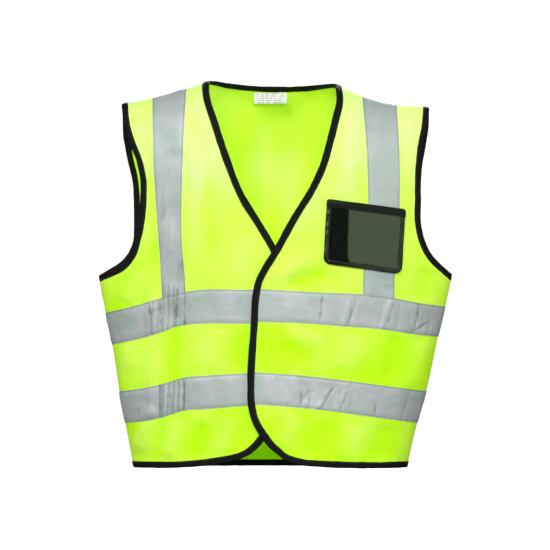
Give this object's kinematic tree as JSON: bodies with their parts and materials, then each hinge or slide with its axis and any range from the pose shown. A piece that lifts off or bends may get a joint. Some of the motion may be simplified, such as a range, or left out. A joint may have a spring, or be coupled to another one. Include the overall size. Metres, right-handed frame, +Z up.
{
  "type": "high visibility vest",
  "caption": "Sleeveless safety vest with an overlapping front, black bound edges, reflective bands and braces, and a clear card pocket on the chest.",
  "frame": {"origin": "middle of the neck opening at the height where the shoulder seams rest on the wearer", "axes": "+Z up, the wearer faces -Y, +X towards the wearer's left"},
  "size_m": [0.552, 0.1836, 0.6001],
  "materials": {
    "fluorescent_fabric": "fluorescent yellow-green warp knit polyester, matte with a faint sheen",
    "black_binding": "black woven binding tape, finely ribbed, matte",
    "reflective_tape": "silver-grey retroreflective tape, satin, slightly creased",
    "pocket_backing": "black vinyl-coated cloth, with a soft gloss on the folded edge strip",
    "clear_window": "clear glossy flexible PVC",
    "hook_and_loop": "black hook and loop",
    "neck_label": "white woven label, satin"
  },
  "bodies": {
    "vest_body": {"back_panel": "fluorescent_fabric", "left_front_panel": "fluorescent_fabric", "right_front_panel": "fluorescent_fabric", "back_lower_band": "reflective_tape", "back_upper_band": "reflective_tape", "left_lower_band": "reflective_tape", "left_upper_band": "reflective_tape", "right_lower_band": "reflective_tape", "right_upper_band": "reflective_tape", "left_brace_front": "reflective_tape", "right_brace_front": "reflective_tape", "left_brace_back": "reflective_tape", "right_brace_back": "reflective_tape", "back_neck_binding": "black_binding", "left_neck_binding": "black_binding", "right_neck_binding": "black_binding", "left_hem_binding": "black_binding", "right_hem_binding": "black_binding", "back_hem_binding": "black_binding", "left_armhole_front_binding": "black_binding", "right_armhole_front_binding": "black_binding", "left_armhole_back_binding": "black_binding", "right_armhole_back_binding": "black_binding", "pocket_backing": "pocket_backing", "pocket_window": "clear_window", "pocket_mouth_band": "pocket_backing", "pocket_edge_binding": "pocket_backing"},
    "left_front": {"left_front_flap": "fluorescent_fabric", "left_lower_band_flap": "reflective_tape", "left_upper_band_flap": "reflective_tape", "left_edge_binding": "black_binding", "upper_hook_patch": "hook_and_loop", "lower_hook_patch": "hook_and_loop"},
    "right_front": {"right_front_flap": "fluorescent_fabric", "right_lower_band_flap": "reflective_tape", "right_upper_band_flap": "reflective_tape", "right_edge_binding": "black_binding", "upper_loop_patch": "hook_and_loop", "lower_loop_patch": "hook_and_loop"},
    "neck_label": {"neck_label": "neck_label"}
  },
  "joints": [
    {"name": "left_front_fold", "type": "hinge", "parent": "vest_body", "child": "left_front", "pos_m": [0.07, -0.09389, -0.3], "axis": [0, 0, 1], "range_deg": [0, 140]},
    {"name": "right_front_fold", "type": "hinge", "parent": "vest_body", "child": "right_front", "pos_m": [-0.075, -0.09334, -0.3], "axis": [0, 0, -1], "range_deg": [0, 70]},
    {"name": "label_flip", "type": "hinge", "parent": "vest_body", "child": "neck_label", "pos_m": [-0.0085, 0.0405, -0.0135], "axis": [-1, 0, 0], "range_deg": [-15, 110]}
  ],
  "couplings": [
    {"joint": "right_front_fold", "follows": "left_front_fold", "ratio": 0.5}
  ]
}
